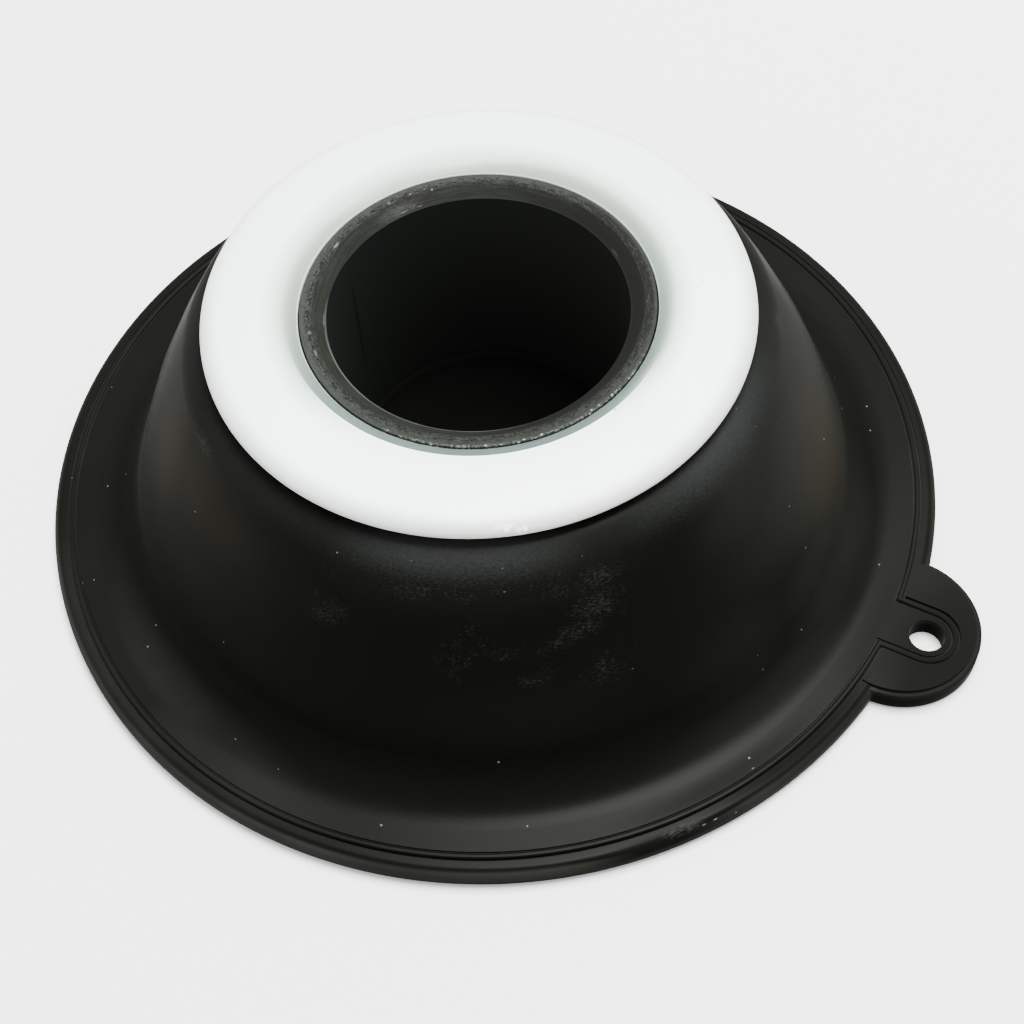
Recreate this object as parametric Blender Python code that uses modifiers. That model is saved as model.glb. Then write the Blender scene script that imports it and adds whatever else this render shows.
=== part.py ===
# Carburetor diaphragm: a moulded rubber bell with a flat brim and one ear, gripped
# at its crown between a turned cup and a white retaining ring.
# Sizes are in millimetres. Z points up, the ear points along +X, and the origin is on
# the bell's axis in the plane that the brim and the cup rest on.

import math

import bmesh
import bpy

MM = 0.001

# Fit between pieces that seat on or slip over each other
FIT = 0.3

# Brim: the flat outer flange with its thick sealing edge
RIM_RADIUS = 40.0
BRIM_THICKNESS = 2.0
THICK_EDGE_WIDTH = 3.2
RIM_TOP_ROUND = 0.9
RIM_BOTTOM_ROUND = 0.6

# Sealing ridge that runs round the brim and out round the hole in the ear
RIDGE_INSET = 1.7
RIDGE_HALF_WIDTH = 0.24
RIDGE_RISE = 0.18
RIDGE_TOP_ROUND = 0.17
CREASE_HALF_WIDTH = 0.42
CREASE_DEPTH = 0.2

# Ear with the air passage hole
EAR_CENTRE_INSET = 0.95
EAR_RADIUS = 6.95
EAR_BORDER_DROP = 0.15
EAR_EDGE_ROUND = 0.55
EAR_ROOT_ROUND = 0.8
EAR_TABLE_INSET = 0.5
EAR_TABLE_RISE = 0.15
HOLE_OFFSET_FROM_RIM = 1.55
HOLE_RADIUS = 1.5
HOLE_TO_RIDGE = 0.9

# Bell: the thin flexing wall between the brim and the crown
SKIN_THICKNESS = 0.7
FOOT_INSET = 7.35
FOOT_ROUND = 5.0
WALL_BULGE = 0.92
WALL_ROUND = 100.0
SHOULDER_OVERHANG = 1.07
SHOULDER_ROUND = 3.9

# Crown: the thicker flat top that the cup and the ring grip
CROWN_HEIGHT = 22.45
CROWN_THICKNESS = 1.3
CROWN_LAND_PAST_SEAT = 1.0
CROWN_STEP_RUN = 0.5

# Cup: the dark turned piece in the middle, open at the top and closed by a floor
BORE_RADIUS = 12.36
CUP_WALL = 2.24
CUP_RISE_OVER_CROWN = 1.31
CUP_FLOOR_THICKNESS = 2.0
MOUTH_CHAMFER_WIDTH = 1.0
MOUTH_CHAMFER_DEPTH = 0.7
CUP_TOP_EDGE_BREAK = 0.12
CUP_FLOOR_ROUND = 1.0
CUP_BOTTOM_CHAMFER = 0.5
SEAT_FLANGE_WIDTH = 4.6
SEAT_FLANGE_THICKNESS = 1.9
SEAT_FLANGE_ROUND = 0.4
SEAT_FLANGE_ROOT_ROUND = 1.0

# Retaining ring: the white annulus on top of the crown
RING_WIDTH = 7.6
RING_THICKNESS = 1.8
RING_CROWNING = 0.08
RING_EDGE_WIDTH = 1.75
RING_LIP_ROUND = 1.2

# Fineness of the turned and curved shapes
DIAPHRAGM_STEPS = 80
HARD_PART_STEPS = 60
HOLE_STEPS = 28
MOST_TURN = math.radians(24)
SMOOTH_BELOW = math.radians(40)

# Lengths worked out from the sizes above
RIDGE_PATH_RADIUS = RIM_RADIUS - RIDGE_INSET
EAR_X = RIM_RADIUS - EAR_CENTRE_INSET
HOLE_X = RIM_RADIUS + HOLE_OFFSET_FROM_RIM
TONGUE_HALF_WIDTH = HOLE_RADIUS + HOLE_TO_RIDGE
CUP_RADIUS = BORE_RADIUS + CUP_WALL
NECK_HOLE_RADIUS = CUP_RADIUS + FIT
SEAT_FLANGE_RADIUS = CUP_RADIUS + SEAT_FLANGE_WIDTH
CROWN_LAND_RADIUS = SEAT_FLANGE_RADIUS + CROWN_LAND_PAST_SEAT
RING_RADIUS = NECK_HOLE_RADIUS + RING_WIDTH
CROWN_UNDERSIDE = CROWN_HEIGHT - CROWN_THICKNESS
RING_SEAT_Z = CROWN_HEIGHT + FIT

# Heights of cutters and of shapes sunk into a neighbour before they are joined
ABOVE = 2.0
SUNK = 1.0


def clear_scene():
    for old in list(bpy.data.objects):
        bpy.data.objects.remove(old)


def new_collection(name):
    collection = bpy.data.collections.new(name)
    bpy.context.scene.collection.children.link(collection)
    return collection


def new_material(name, colour, roughness, metallic=0.0):
    material = bpy.data.materials.new(name)
    material.use_nodes = True
    shader = material.node_tree.nodes["Principled BSDF"]
    shader.inputs["Base Color"].default_value = (*colour, 1.0)
    shader.inputs["Roughness"].default_value = roughness
    shader.inputs["Metallic"].default_value = metallic
    return material


def unit(dx, dy):
    length = math.hypot(dx, dy)
    return dx / length, dy / length


def arc_points(centre, radius, start, end, steps):
    """Points along an arc from angle start to angle end, both included."""
    points = []
    for i in range(steps + 1):
        angle = start + (end - start) * i / steps
        points.append((centre[0] + radius * math.cos(angle), centre[1] + radius * math.sin(angle)))
    return points


def rounded_corner(before, corner, after, radius):
    """The corner's arc, or the bare corner. The radius is limited by the shorter side."""
    to_before = unit(before[0] - corner[0], before[1] - corner[1])
    to_after = unit(after[0] - corner[0], after[1] - corner[1])
    cosine = to_before[0] * to_after[0] + to_before[1] * to_after[1]
    half = math.acos(max(-1.0, min(1.0, cosine))) / 2
    turn = math.pi - 2 * half
    if radius <= 0 or turn < 1e-6:
        return [tuple(corner)]
    shorter = min(math.dist(before, corner), math.dist(corner, after))
    reach = min(radius / math.tan(half), 0.49 * shorter)
    radius = reach * math.tan(half)
    middle = unit(to_before[0] + to_after[0], to_before[1] + to_after[1])
    centre = (corner[0] + middle[0] * radius / math.sin(half), corner[1] + middle[1] * radius / math.sin(half))
    first = (corner[0] + to_before[0] * reach, corner[1] + to_before[1] * reach)
    last = (corner[0] + to_after[0] * reach, corner[1] + to_after[1] * reach)
    start = math.atan2(first[1] - centre[1], first[0] - centre[0])
    end = math.atan2(last[1] - centre[1], last[0] - centre[0])
    if end - start > math.pi:
        end -= 2 * math.pi
    if start - end > math.pi:
        end += 2 * math.pi
    return arc_points(centre, radius, start, end, max(2, math.ceil(turn / MOST_TURN)))


def rounded_path(corners, closed):
    """Turns corners given as (r, z, rounding) into the points of a path with arcs at the corners."""
    places = [(r, z) for r, z, _ in corners]
    count = len(corners)
    points = []
    for i, (r, z, rounding) in enumerate(corners):
        at_end = not closed and i in (0, count - 1)
        if at_end:
            points.append((r, z))
        else:
            points += rounded_corner(places[i - 1], places[i], places[(i + 1) % count], rounding)
    return points


def inset_corner(before, corner, after, depth):
    """The corner moved to the right-hand side of the path by depth, square to both of its sides."""
    first = unit(corner[0] - before[0], corner[1] - before[1])
    second = unit(after[0] - corner[0], after[1] - corner[1])
    normal_a = (first[1], -first[0])
    normal_b = (second[1], -second[0])
    share = depth / (1 + normal_a[0] * normal_b[0] + normal_a[1] * normal_b[1])
    return corner[0] + (normal_a[0] + normal_b[0]) * share, corner[1] + (normal_a[1] + normal_b[1]) * share


def turned(name, profile, closed, steps, material, collection):
    """A solid turned about Z from a profile of (r, z) that runs down its outer side."""
    mesh = bpy.data.meshes.new(name)
    count = len(profile)
    edges = [(i, i + 1) for i in range(count - 1)]
    if closed:
        edges.append((count - 1, 0))
    mesh.from_pydata([(r * MM, 0.0, z * MM) for r, z in profile], edges, [])
    mesh.materials.append(material)
    obj = bpy.data.objects.new(name, mesh)
    collection.objects.link(obj)
    screw = obj.modifiers.new("Turn", "SCREW")
    screw.axis = "Z"
    screw.angle = 2 * math.pi
    screw.steps = steps
    screw.render_steps = steps
    screw.use_merge_vertices = True
    screw.merge_threshold = 0.00001
    screw.use_smooth_shade = True
    return obj


def flat_solid(name, outlines, low, high, collection):
    """A flat outline, with any inner outline as a hole, from height low to height high."""
    data = bpy.data.curves.new(name, "CURVE")
    data.dimensions = "2D"
    data.fill_mode = "BOTH"
    data.extrude = (high - low) / 2 * MM
    for outline in outlines:
        spline = data.splines.new("POLY")
        spline.points.add(len(outline) - 1)
        for point, (x, y) in zip(spline.points, outline):
            point.co = (x * MM, y * MM, 0.0, 1.0)
        spline.use_cyclic_u = True
    curve = bpy.data.objects.new(name, data)
    collection.objects.link(curve)
    bpy.context.view_layer.update()
    depsgraph = bpy.context.evaluated_depsgraph_get()
    mesh = bpy.data.meshes.new_from_object(curve.evaluated_get(depsgraph))
    solid = bmesh.new()
    solid.from_mesh(mesh)
    bmesh.ops.remove_doubles(solid, verts=solid.verts, dist=0.000001)
    bmesh.ops.dissolve_limit(solid, angle_limit=math.radians(0.1), verts=solid.verts, edges=solid.edges)
    bmesh.ops.recalc_face_normals(solid, faces=solid.faces)
    for vertex in solid.verts:
        vertex.co.z = (high if vertex.co.z > 0 else low) * MM
    solid.to_mesh(mesh)
    solid.free()
    mesh.shade_smooth()
    mesh.set_sharp_from_angle(angle=SMOOTH_BELOW)
    obj = bpy.data.objects.new(name, mesh)
    collection.objects.link(obj)
    obj.matrix_world = curve.matrix_world
    bpy.data.objects.remove(curve)
    return obj


def round_edges(obj, width, segments):
    """Rounds the sharp edges of a shape."""
    bevel = obj.modifiers.new("Round", "BEVEL")
    bevel.width = width * MM
    bevel.segments = segments
    bevel.limit_method = "ANGLE"
    bevel.angle_limit = math.radians(60)


def combine(target, other, operation):
    """Cuts or joins other into target, and leaves other as a hidden guide."""
    modifier = target.modifiers.new(other.name, "BOOLEAN")
    modifier.operation = operation
    modifier.object = other
    modifier.solver = "EXACT"
    other.hide_render = True
    other.display_type = "WIRE"


def ridge_outline(offset):
    """The ridge's closed path, moved outwards by offset: round the brim and out round the ear's hole."""
    radius = RIDGE_PATH_RADIUS + offset
    half_width = TONGUE_HALF_WIDTH + offset
    corner_x = math.sqrt(radius**2 - half_width**2)
    leave = math.asin(half_width / radius)
    step = 2 * math.pi / DIAPHRAGM_STEPS
    points = []
    for i in range(DIAPHRAGM_STEPS):
        angle = (i + 0.5) * step
        if leave + step / 4 < angle < 2 * math.pi - leave - step / 4:
            points.append((radius * math.cos(angle), radius * math.sin(angle)))
    tip = arc_points((HOLE_X, 0.0), half_width, -math.pi / 2, math.pi / 2, 14)
    return points + [(corner_x, -half_width)] + tip + [(corner_x, half_width)]


def ear_circle_crossing(radius, inner_radius):
    """Where a circle about the ear's centre crosses a circle about the bell's axis."""
    x = (inner_radius**2 - radius**2 + EAR_X**2) / (2 * EAR_X)
    return x, math.sqrt(inner_radius**2 - x**2)


def ear_plate_outline():
    """The ear's outer edge with rounded roots, closed inside the brim."""
    root_x, root_y = ear_circle_crossing(EAR_RADIUS + EAR_ROOT_ROUND, RIM_RADIUS + EAR_ROOT_ROUND)
    rim_angle = math.atan2(root_y, root_x)
    ear_angle = math.atan2(root_y, root_x - EAR_X)
    lower_root = arc_points((root_x, -root_y), EAR_ROOT_ROUND, math.pi - rim_angle, math.pi - ear_angle, 4)
    edge = arc_points((EAR_X, 0.0), EAR_RADIUS, -ear_angle, ear_angle, 24)
    upper_root = arc_points((root_x, root_y), EAR_ROOT_ROUND, ear_angle - math.pi, rim_angle - math.pi, 4)
    inside = arc_points((0.0, 0.0), RIDGE_PATH_RADIUS, rim_angle, -rim_angle, 5)
    return lower_root + edge[1:-1] + upper_root + inside


def ear_table_outline():
    """The raised table on the ear, inset from the ear's edge and closed inside the ridge."""
    radius = EAR_RADIUS - EAR_TABLE_INSET
    x, y = ear_circle_crossing(radius, RIDGE_PATH_RADIUS)
    reach = math.atan2(y, x - EAR_X)
    return arc_points((EAR_X, 0.0), radius, -reach, reach, 26) + [(x - SUNK, y), (x - SUNK, -y)]


def tongue_outline():
    """The ground round the ear's hole inside the ridge, closed on the flat of the brim."""
    half_width = TONGUE_HALF_WIDTH + CREASE_HALF_WIDTH / 2
    start_x = RIDGE_PATH_RADIUS
    return [(start_x, half_width), (start_x, -half_width)] + arc_points(
        (HOLE_X, 0.0), half_width, -math.pi / 2, math.pi / 2, 12
    )


def diaphragm_profile():
    """Section of the moulded rubber: crown, bell wall, brim and thick edge, then back along the inside."""
    shoulder = (RING_RADIUS + SHOULDER_OVERHANG, CROWN_HEIGHT)
    foot = (RIM_RADIUS - FOOT_INSET, BRIM_THICKNESS)
    along = unit(foot[0] - shoulder[0], foot[1] - shoulder[1])
    middle = (
        (shoulder[0] + foot[0]) / 2 - along[1] * WALL_BULGE,
        (shoulder[1] + foot[1]) / 2 + along[0] * WALL_BULGE,
    )
    crown_start = (NECK_HOLE_RADIUS, CROWN_HEIGHT)
    rim_top = (RIM_RADIUS, BRIM_THICKNESS)
    inner_shoulder = inset_corner(crown_start, shoulder, middle, SKIN_THICKNESS)
    inner_middle = inset_corner(shoulder, middle, foot, SKIN_THICKNESS)
    inner_foot = inset_corner(middle, foot, rim_top, SKIN_THICKNESS)
    edge_inner_radius = RIM_RADIUS - THICK_EDGE_WIDTH
    corners = [
        (*crown_start, 0.0),
        (*shoulder, SHOULDER_ROUND),
        (*middle, WALL_ROUND),
        (*foot, FOOT_ROUND),
        (*rim_top, RIM_TOP_ROUND),
        (RIM_RADIUS, 0.0, RIM_BOTTOM_ROUND),
        (edge_inner_radius, 0.0, 0.0),
        (edge_inner_radius, BRIM_THICKNESS - SKIN_THICKNESS, 0.0),
        (*inner_foot, FOOT_ROUND + SKIN_THICKNESS),
        (*inner_middle, WALL_ROUND - SKIN_THICKNESS),
        (*inner_shoulder, SHOULDER_ROUND - SKIN_THICKNESS),
        (CROWN_LAND_RADIUS + CROWN_STEP_RUN, CROWN_HEIGHT - SKIN_THICKNESS, 0.0),
        (CROWN_LAND_RADIUS, CROWN_UNDERSIDE, 0.0),
        (NECK_HOLE_RADIUS, CROWN_UNDERSIDE, 0.0),
    ]
    return rounded_path(corners, closed=True)


def make_diaphragm(collection, cutters, material):
    body = turned("diaphragm", diaphragm_profile(), True, DIAPHRAGM_STEPS, material, collection)

    plate_top = BRIM_THICKNESS - EAR_BORDER_DROP
    plate = flat_solid("ear_plate", [ear_plate_outline()], 0.0, plate_top, cutters)
    round_edges(plate, EAR_EDGE_ROUND, 3)
    combine(body, plate, "UNION")

    # Level with the brim inside the ridge, a little higher outside it
    tongue = flat_solid("ear_tongue", [tongue_outline()], BRIM_THICKNESS - SUNK, BRIM_THICKNESS, cutters)
    combine(body, tongue, "UNION")
    table_top = BRIM_THICKNESS + EAR_TABLE_RISE
    table = flat_solid("ear_table", [ear_table_outline()], BRIM_THICKNESS - SUNK, table_top, cutters)
    inside = flat_solid("inside_ridge", [ridge_outline(CREASE_HALF_WIDTH / 3)], 0.0, table_top + ABOVE, cutters)
    combine(table, inside, "DIFFERENCE")
    combine(body, table, "UNION")

    band = [ridge_outline(CREASE_HALF_WIDTH), ridge_outline(-CREASE_HALF_WIDTH)]
    creases = flat_solid("creases", band, BRIM_THICKNESS - CREASE_DEPTH, table_top + ABOVE, cutters)
    combine(body, creases, "DIFFERENCE")
    crest = [ridge_outline(RIDGE_HALF_WIDTH), ridge_outline(-RIDGE_HALF_WIDTH)]
    ridge = flat_solid("ridge", crest, BRIM_THICKNESS - SUNK, BRIM_THICKNESS + RIDGE_RISE, cutters)
    round_edges(ridge, RIDGE_TOP_ROUND, 2)
    combine(body, ridge, "UNION")

    hole_outline = arc_points((HOLE_X, 0.0), HOLE_RADIUS, 0.0, 2 * math.pi, HOLE_STEPS)[:-1]
    hole = flat_solid("ear_hole", [hole_outline], -ABOVE, BRIM_THICKNESS + ABOVE, cutters)
    combine(body, hole, "DIFFERENCE")
    return body


def cup_profile():
    """Section of the cup from the middle of its floor, up the bore, over the mouth and down the outside."""
    top = CROWN_HEIGHT + CUP_RISE_OVER_CROWN
    seat_top = CROWN_UNDERSIDE - FIT
    seat_bottom = seat_top - SEAT_FLANGE_THICKNESS
    corners = [
        (0.0, CUP_FLOOR_THICKNESS, 0.0),
        (BORE_RADIUS, CUP_FLOOR_THICKNESS, CUP_FLOOR_ROUND),
        (BORE_RADIUS, top - MOUTH_CHAMFER_DEPTH, 0.0),
        (BORE_RADIUS + MOUTH_CHAMFER_WIDTH, top, 0.0),
        (CUP_RADIUS - CUP_TOP_EDGE_BREAK, top, 0.0),
        (CUP_RADIUS, top - CUP_TOP_EDGE_BREAK, 0.0),
        (CUP_RADIUS, seat_top, 0.0),
        (SEAT_FLANGE_RADIUS, seat_top, SEAT_FLANGE_ROUND),
        (SEAT_FLANGE_RADIUS, seat_bottom, SEAT_FLANGE_ROUND),
        (CUP_RADIUS, seat_bottom, SEAT_FLANGE_ROOT_ROUND),
        (CUP_RADIUS, CUP_BOTTOM_CHAMFER, 0.0),
        (CUP_RADIUS - CUP_BOTTOM_CHAMFER, 0.0, 0.0),
        (0.0, 0.0, 0.0),
    ]
    return rounded_path(corners, closed=False)


def ring_profile():
    """Section of the ring above its own seat: crowned top, half-round outer edge, eased inner lip."""
    edge_centre = RING_RADIUS - RING_EDGE_WIDTH
    half = RING_THICKNESS / 2
    lip_start = NECK_HOLE_RADIUS + RING_LIP_ROUND
    points = []
    for i in range(5):
        share = i / 5
        crowning = RING_CROWNING * math.sin(math.pi * share)
        points.append((lip_start + (edge_centre - lip_start) * share, RING_THICKNESS + crowning))
    for x, y in arc_points((0.0, 0.0), 1.0, math.pi / 2, -math.pi / 2, 10):
        points.append((edge_centre + RING_EDGE_WIDTH * x, half + half * y))
    points.append((NECK_HOLE_RADIUS, 0.0))
    lip = arc_points((lip_start, RING_THICKNESS - RING_LIP_ROUND), RING_LIP_ROUND, math.pi, math.pi / 2, 5)
    return points + lip[:-1]


def main():
    clear_scene()
    parts = new_collection("carburetor_diaphragm")
    cutters = new_collection("cutters")
    rubber = new_material("black_rubber", (0.016, 0.016, 0.015), 0.5)
    dark = new_material("dark_cup", (0.03, 0.03, 0.028), 0.55)
    white = new_material("white_nylon", (0.8, 0.83, 0.8), 0.4)

    frame = bpy.data.objects.new("carburetor_diaphragm", None)
    parts.objects.link(frame)
    diaphragm = make_diaphragm(parts, cutters, rubber)
    cup = turned("piston_cup", cup_profile(), False, HARD_PART_STEPS, dark, parts)
    ring = turned("retaining_ring", ring_profile(), True, HARD_PART_STEPS, white, parts)
    ring.location.z = RING_SEAT_Z * MM
    for piece in (diaphragm, cup, ring):
        piece.parent = frame


main()
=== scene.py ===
import bmesh
import bpy
import math
from mathutils import Matrix, Vector


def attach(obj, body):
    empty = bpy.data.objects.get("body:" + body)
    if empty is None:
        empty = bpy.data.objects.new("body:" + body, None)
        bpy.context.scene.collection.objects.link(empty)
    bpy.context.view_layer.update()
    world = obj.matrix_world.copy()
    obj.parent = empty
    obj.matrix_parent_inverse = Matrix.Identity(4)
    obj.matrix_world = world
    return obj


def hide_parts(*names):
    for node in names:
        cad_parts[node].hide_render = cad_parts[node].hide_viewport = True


# The dressed carburetor diaphragm: a rubber bell with an eared brim, a white nylon ring
# and a dark cup in the middle. Sizes in the dictionaries are in millimetres.

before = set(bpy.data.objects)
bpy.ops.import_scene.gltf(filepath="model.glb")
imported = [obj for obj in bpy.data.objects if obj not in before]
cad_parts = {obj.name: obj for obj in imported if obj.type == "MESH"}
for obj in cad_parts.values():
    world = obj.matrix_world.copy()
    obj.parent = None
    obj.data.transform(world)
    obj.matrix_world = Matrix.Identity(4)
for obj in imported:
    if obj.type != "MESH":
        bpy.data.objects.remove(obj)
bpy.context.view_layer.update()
mm = 0.001
tiny = 1e-6
earTurn = math.radians(31.84)   # how far the ear is turned from the photographer's right


# Small helpers for shapes

def arcPoints(centre, radius, start, end, steps):
    points = []
    for i in range(steps + 1):
        angle = start + (end - start) * i / steps
        points.append((centre[0] + radius * math.cos(angle), centre[1] + radius * math.sin(angle)))
    return points


def unit(dx, dy):
    length = math.hypot(dx, dy)
    return dx / length, dy / length


def roundedCorner(before, corner, after, radius, turnStep):
    toBefore = unit(before[0] - corner[0], before[1] - corner[1])
    toAfter = unit(after[0] - corner[0], after[1] - corner[1])
    cosine = toBefore[0] * toAfter[0] + toBefore[1] * toAfter[1]
    half = math.acos(max(-1.0, min(1.0, cosine))) / 2
    turn = math.pi - 2 * half
    if radius <= 0 or turn < tiny:
        return [tuple(corner)]
    shorter = min(math.dist(before, corner), math.dist(corner, after))
    reach = min(radius / math.tan(half), 0.49 * shorter)
    radius = reach * math.tan(half)
    middle = unit(toBefore[0] + toAfter[0], toBefore[1] + toAfter[1])
    centre = (corner[0] + middle[0] * radius / math.sin(half),
              corner[1] + middle[1] * radius / math.sin(half))
    first = (corner[0] + toBefore[0] * reach, corner[1] + toBefore[1] * reach)
    last = (corner[0] + toAfter[0] * reach, corner[1] + toAfter[1] * reach)
    start = math.atan2(first[1] - centre[1], first[0] - centre[0])
    end = math.atan2(last[1] - centre[1], last[0] - centre[0])
    if end - start > math.pi:
        end -= 2 * math.pi
    if start - end > math.pi:
        end += 2 * math.pi
    return arcPoints(centre, radius, start, end, max(2, math.ceil(turn / turnStep)))


def roundedPath(corners, closed, turnStep):
    # corners are (r, z, rounding), and the path runs down the outer side
    count = len(corners)
    points = []
    for i, (r, z, rounding) in enumerate(corners):
        if not closed and i in (0, count - 1):
            points.append((r, z))
        else:
            before = corners[i - 1]
            after = corners[(i + 1) % count]
            points += roundedCorner(before[:2], (r, z), after[:2], rounding, turnStep)
    return points


def latheMesh(name, profile, closed, segments):
    # Turns a section into a closed mesh about Z, with single points on the axis
    vertices = []
    rings = []
    for r, z in profile:
        if r < tiny:
            rings.append([len(vertices)] * segments)
            vertices.append((0.0, 0.0, z * mm))
        else:
            rings.append(list(range(len(vertices), len(vertices) + segments)))
            for j in range(segments):
                angle = 2 * math.pi * j / segments
                vertices.append((r * mm * math.cos(angle), r * mm * math.sin(angle), z * mm))
    faces = []
    count = len(rings)
    for i in range(count if closed else count - 1):
        upper = rings[i]
        lower = rings[(i + 1) % count]
        for j in range(segments):
            k = (j + 1) % segments
            corners = []
            for index in (upper[j], lower[j], lower[k], upper[k]):
                if index not in corners:
                    corners.append(index)
            if len(corners) > 2:
                faces.append(corners)
    mesh = bpy.data.meshes.new(name)
    mesh.from_pydata(vertices, [], faces)
    mesh.validate()
    made = bpy.data.objects.new(name, mesh)
    bpy.context.scene.collection.objects.link(made)
    return made


def flatSolid(name, outlines, low, high):
    # A flat outline, with any inner outline as a hole, between two heights
    data = bpy.data.curves.new(name, "CURVE")
    data.dimensions = "2D"
    data.fill_mode = "BOTH"
    data.extrude = (high - low) / 2 * mm
    for outline in outlines:
        spline = data.splines.new("POLY")
        spline.points.add(len(outline) - 1)
        for point, (x, y) in zip(spline.points, outline):
            point.co = (x * mm, y * mm, 0.0, 1.0)
        spline.use_cyclic_u = True
    curve = bpy.data.objects.new(name, data)
    bpy.context.scene.collection.objects.link(curve)
    bpy.context.view_layer.update()
    mesh = bpy.data.meshes.new_from_object(curve.evaluated_get(bpy.context.evaluated_depsgraph_get()))
    solid = bmesh.new()
    solid.from_mesh(mesh)
    bmesh.ops.remove_doubles(solid, verts=solid.verts, dist=0.000001)
    bmesh.ops.dissolve_limit(solid, angle_limit=math.radians(0.1), verts=solid.verts, edges=solid.edges)
    bmesh.ops.recalc_face_normals(solid, faces=solid.faces)
    for vertex in solid.verts:
        vertex.co.z = (high if vertex.co.z > 0 else low) * mm
    solid.to_mesh(mesh)
    solid.free()
    bpy.data.objects.remove(curve)
    made = bpy.data.objects.new(name, mesh)
    bpy.context.scene.collection.objects.link(made)
    return made


def roundEdges(target, width, segments):
    bevel = target.modifiers.new("round", "BEVEL")
    bevel.width = width * mm
    bevel.segments = segments
    bevel.limit_method = "ANGLE"
    bevel.angle_limit = math.radians(60)


def joinOrCut(target, other, operation):
    step = target.modifiers.new(other.name, "BOOLEAN")
    step.operation = operation
    step.object = other
    step.solver = "EXACT"


def settle(target, helpers, sharpAngle):
    # Keeps the worked shape as a plain mesh, removes the helpers and shades it
    bpy.context.view_layer.update()
    evaluated = target.evaluated_get(bpy.context.evaluated_depsgraph_get())
    mesh = bpy.data.meshes.new_from_object(evaluated)
    target.modifiers.clear()
    target.data = mesh
    for helper in helpers:
        bpy.data.objects.remove(helper)
    mesh.shade_smooth()
    mesh.set_sharp_from_angle(angle=math.radians(sharpAngle))
    even = target.modifiers.new("even normals", "WEIGHTED_NORMAL")
    even.keep_sharp = True
    even.weight = 80


# The rubber diaphragm

diaphragmSizes = {
    "rimRadius": 40.0, "brimThickness": 2.0, "thickEdge": 3.2, "rimTopRound": 0.9, "rimBottomRound": 0.6,
    "ridgeInset": 1.7, "ridgeHalfWidth": 0.24, "ridgeRise": 0.18, "ridgeTopRound": 0.17,
    "creaseHalfWidth": 0.40, "creaseDepth": 0.15,
    "earCentreInset": 0.95, "earRadius": 6.95, "earBorderDrop": 0.15, "earEdgeRound": 0.55,
    "tableInset": 0.5, "tableRise": 0.15, "holeOffset": 1.55, "holeRadius": 1.5, "holeToRidge": 0.9,
    "skin": 0.7, "footInset": 7.35, "footRound": 5.0, "wallBulge": 0.92, "wallRound": 100.0,
    "shoulderRadius": 23.57, "shoulderRound": 3.9,
    "crownHeight": 22.45, "crownThickness": 1.3, "crownHole": 14.9, "crownLand": 20.2, "crownStep": 0.5,
    "crownHoleRound": 0.12, "landRound": 0.1, "edgeInnerRound": 0.25, "undersideRound": 0.2,
    "overlap": 1.0, "cutBeyond": 2.0, "segments": 300, "ridgeSteps": 240, "ridgeTipSteps": 40,
    "earSteps": 100, "earInnerSteps": 9, "tableSteps": 90, "tongueSteps": 30, "holeSteps": 64,
    "turnStep": math.radians(5), "sharpAngle": 35,
}


def insetCorner(before, corner, after, depth):
    first = unit(corner[0] - before[0], corner[1] - before[1])
    second = unit(after[0] - corner[0], after[1] - corner[1])
    normalA = (first[1], -first[0])
    normalB = (second[1], -second[0])
    share = depth / (1 + normalA[0] * normalB[0] + normalA[1] * normalB[1])
    return corner[0] + (normalA[0] + normalB[0]) * share, corner[1] + (normalA[1] + normalB[1]) * share


def diaphragmSection(s):
    top = s["crownHeight"]
    shoulder = (s["shoulderRadius"], top)
    foot = (s["rimRadius"] - s["footInset"], s["brimThickness"])
    along = unit(foot[0] - shoulder[0], foot[1] - shoulder[1])
    middle = ((shoulder[0] + foot[0]) / 2 - along[1] * s["wallBulge"],
              (shoulder[1] + foot[1]) / 2 + along[0] * s["wallBulge"])
    crownStart = (s["crownHole"], top)
    rimTop = (s["rimRadius"], s["brimThickness"])
    innerShoulder = insetCorner(crownStart, shoulder, middle, s["skin"])
    innerMiddle = insetCorner(shoulder, middle, foot, s["skin"])
    innerFoot = insetCorner(middle, foot, rimTop, s["skin"])
    edgeInner = s["rimRadius"] - s["thickEdge"]
    corners = [
        (*crownStart, s["crownHoleRound"]),
        (*shoulder, s["shoulderRound"]),
        (*middle, s["wallRound"]),
        (*foot, s["footRound"]),
        (*rimTop, s["rimTopRound"]),
        (s["rimRadius"], 0.0, s["rimBottomRound"]),
        (edgeInner, 0.0, s["edgeInnerRound"]),
        (edgeInner, s["brimThickness"] - s["skin"], s["undersideRound"]),
        (*innerFoot, s["footRound"] + s["skin"]),
        (*innerMiddle, s["wallRound"] - s["skin"]),
        (*innerShoulder, s["shoulderRound"] - s["skin"]),
        (s["crownLand"] + s["crownStep"], top - s["skin"], s["landRound"]),
        (s["crownLand"], top - s["crownThickness"], s["landRound"]),
        (s["crownHole"], top - s["crownThickness"], s["crownHoleRound"]),
    ]
    return roundedPath(corners, True, s["turnStep"])


def ridgeOutline(s, offset):
    radius = s["rimRadius"] - s["ridgeInset"] + offset
    halfWidth = s["holeRadius"] + s["holeToRidge"] + offset
    cornerX = math.sqrt(radius**2 - halfWidth**2)
    leave = math.asin(halfWidth / radius)
    step = 2 * math.pi / s["ridgeSteps"]
    points = []
    for i in range(s["ridgeSteps"]):
        angle = (i + 0.5) * step
        if leave + step / 4 < angle < 2 * math.pi - leave - step / 4:
            points.append((radius * math.cos(angle), radius * math.sin(angle)))
    holeX = s["rimRadius"] + s["holeOffset"]
    tip = arcPoints((holeX, 0.0), halfWidth, -math.pi / 2, math.pi / 2, s["ridgeTipSteps"])
    return points + [(cornerX, -halfWidth)] + tip + [(cornerX, halfWidth)]


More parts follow.
